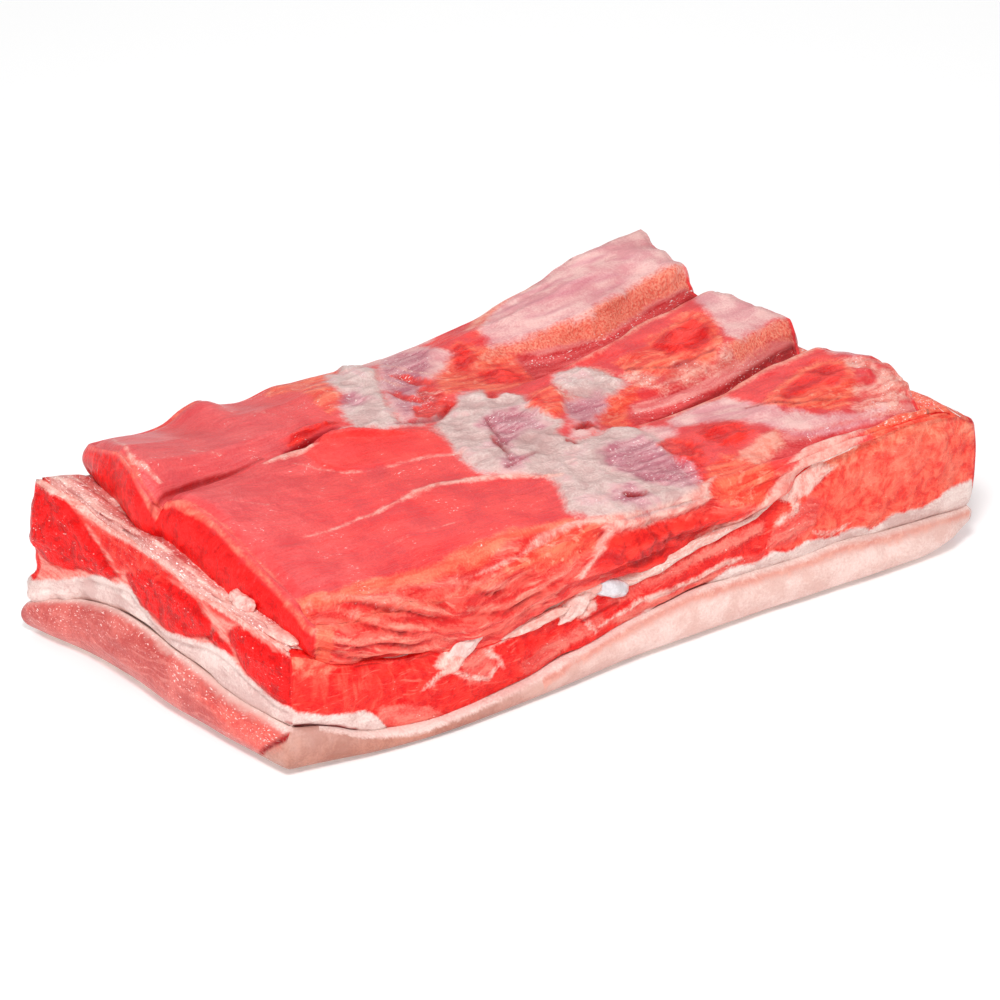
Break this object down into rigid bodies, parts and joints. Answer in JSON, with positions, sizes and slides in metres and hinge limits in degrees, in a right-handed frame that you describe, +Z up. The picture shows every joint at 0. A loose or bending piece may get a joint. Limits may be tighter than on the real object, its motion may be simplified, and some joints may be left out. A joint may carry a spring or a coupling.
{
  "type": "pork belly slab",
  "caption": "Raw pork belly slab lying skin side down, with layered fat and lean at its cut faces, muscle flaps at one end and bared rib channels at the other.",
  "frame": {"origin": "under the middle of the slab, on the surface it rests on", "axes": "+X along the slab from the stepped left end to the ribbed right end, +Y from the long front face to the back, +Z up"},
  "size_m": [0.2357, 0.1406, 0.059],
  "materials": {
    "outer_fat": "moist pink-white pork fat over a tan rind",
    "lower_lean": "wet red granular lean",
    "seam_fat": "soft white seam fat",
    "upper_lean": "moist coral lean with pale membrane and fat on its ribs"
  },
  "bodies": {
    "root": {"outer_fat_and_rind": "outer_fat", "lower_lean": "lower_lean", "fat_seam": "seam_fat", "upper_lean": "upper_lean"}
  },
  "joints": []
}
